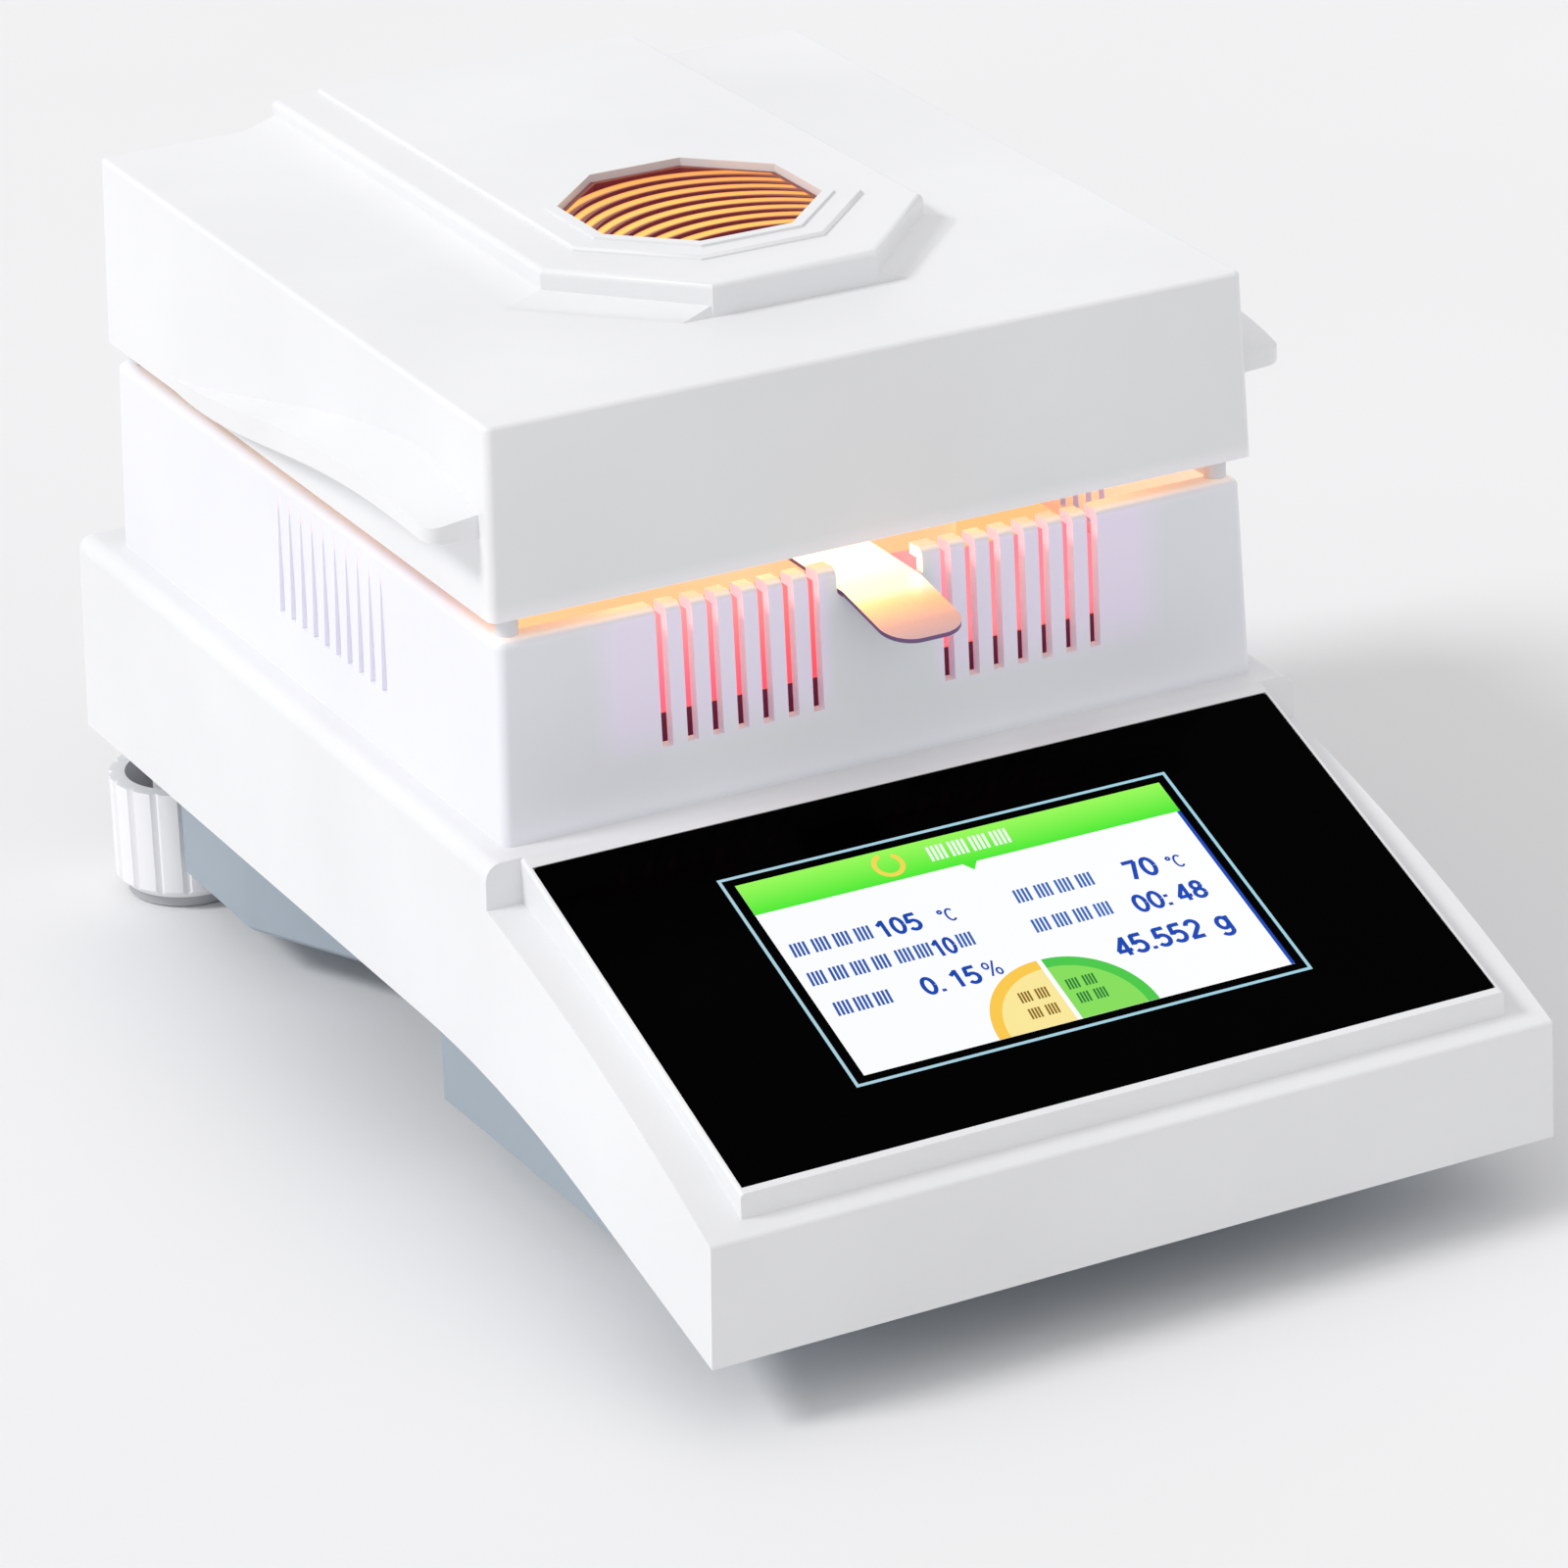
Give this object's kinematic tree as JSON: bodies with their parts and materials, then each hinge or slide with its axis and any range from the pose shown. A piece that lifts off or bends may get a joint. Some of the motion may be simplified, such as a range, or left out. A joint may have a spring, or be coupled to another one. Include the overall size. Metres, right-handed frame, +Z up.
{
  "type": "moisture analyzer",
  "caption": "Halogen moisture analyzer with touch screen, hinged heating lid, slotted chamber, sample pan and levelling feet.",
  "frame": {"origin": "centre of the footprint, on the table", "axes": "+Z up, -Y towards the user and the touch screen, X across"},
  "size_m": [0.2202, 0.346, 0.2003],
  "materials": {
    "white_plastic": "fine matt texture",
    "knob_plastic": "fine matt texture",
    "grey_plastic": "matt",
    "black_plastic": "matt",
    "panel_glass": "gloss black back-printed glass",
    "display": "gloss",
    "board": "solder mask",
    "cable": "matt",
    "sheet_steel": "brushed stainless sheet",
    "mirror_steel": "polished",
    "cell_aluminium": "milled",
    "pan_aluminium": "pressed foil",
    "screw_steel": "plated",
    "spindle_steel": "ground",
    "lamp_glass": "clear tube",
    "clear_glass": "clear",
    "amber_glass": "amber",
    "ceramic": "glazed ceramic",
    "rubber": "matt",
    "brass": "turned"
  },
  "bodies": {
    "root": {"base_housing": "white_plastic", "bottom_tray": "grey_plastic", "chassis_plate": "sheet_steel", "touch_glass": "panel_glass", "display_module": "display", "display_bracket": "sheet_steel", "display_board": "board", "display_cable": "cable", "chamber_housing": "white_plastic", "bumper_pads": "rubber", "chamber_liner": "sheet_steel", "draught_ring": "sheet_steel", "chamber_screws": "screw_steel", "tray_screws": "screw_steel", "load_cell": "cell_aluminium", "load_cell_mount": "cell_aluminium", "main_board": "board", "power_supply": "board", "board_standoffs": "brass", "hinge_bracket_left": "sheet_steel", "hinge_bracket_right": "sheet_steel", "hinge_pin_left": "screw_steel", "hinge_pin_right": "screw_steel", "foot_insert_left": "brass", "foot_insert_right": "brass", "front_feet": "rubber", "power_inlet": "black_plastic", "switch_frame": "black_plastic", "serial_port": "screw_steel", "bubble_level": "clear_glass"},
    "lid": {"lid_shell": "white_plastic", "window_grille": "black_plastic", "window_glass": "amber_glass", "lid_liner": "sheet_steel", "guard_glass": "clear_glass", "reflector": "mirror_steel", "reflector_clips": "sheet_steel", "halogen_lamp": "lamp_glass", "lamp_holders": "ceramic", "temperature_sensor": "sheet_steel", "lid_screws": "screw_steel", "hinge_arm_left": "sheet_steel", "hinge_arm_right": "sheet_steel"},
    "pan_handler": {"pan_handler": "sheet_steel"},
    "sample_pan": {"sample_pan": "pan_aluminium"},
    "weighing_platform": {"weighing_spindle": "spindle_steel", "pan_support": "sheet_steel"},
    "foot_left": {"foot_sole_left": "rubber"},
    "foot_right": {"foot_sole_right": "rubber"},
    "foot_left_knob": {"foot_knob_left": "knob_plastic", "foot_stem_left": "screw_steel"},
    "foot_right_knob": {"foot_knob_right": "knob_plastic", "foot_stem_right": "screw_steel"},
    "rocker": {"power_rocker": "black_plastic"}
  },
  "joints": [
    {"name": "lid_hinge", "type": "hinge", "parent": "root", "child": "lid", "pos_m": [0, 0.1657, 0.1429], "axis": [-1, 0, 0], "range_deg": [0, 85]},
    {"name": "handler_lift", "type": "slide", "parent": "root", "child": "pan_handler", "axis": [0, 0, 1], "range_m": [0, 0.008]},
    {"name": "pan_lift", "type": "slide", "parent": "pan_handler", "child": "sample_pan", "axis": [0, 0, 1], "range_m": [0, 0.008]},
    {"name": "weighing_travel", "type": "slide", "parent": "root", "child": "weighing_platform", "axis": [0, 0, 1], "range_m": [-0.0004, 0], "stiffness_N_per_m": 6500},
    {"name": "foot_left_height", "type": "slide", "parent": "root", "child": "foot_left", "axis": [0, 0, 1], "range_m": [-0.0025, 0.0025]},
    {"name": "foot_right_height", "type": "slide", "parent": "root", "child": "foot_right", "axis": [0, 0, 1], "range_m": [-0.0025, 0.0025]},
    {"name": "foot_left_turn", "type": "hinge", "parent": "foot_left", "child": "foot_left_knob", "pos_m": [-0.0883, 0.1529, 0.02], "axis": [0, 0, 1], "range_deg": [-725, 725]},
    {"name": "foot_right_turn", "type": "hinge", "parent": "foot_right", "child": "foot_right_knob", "pos_m": [0.0883, 0.1529, 0.02], "axis": [0, 0, 1], "range_deg": [-725, 725]},
    {"name": "rocker_turn", "type": "hinge", "parent": "root", "child": "rocker", "pos_m": [-0.018, 0.167, 0.06875], "axis": [1, 0, 0], "range_deg": [0, 14]}
  ],
  "couplings": [
    {"joint": "foot_left_turn", "follows": "foot_left_height", "rad_per_m": 5026.5},
    {"joint": "foot_right_turn", "follows": "foot_right_height", "rad_per_m": 5026.5}
  ]
}
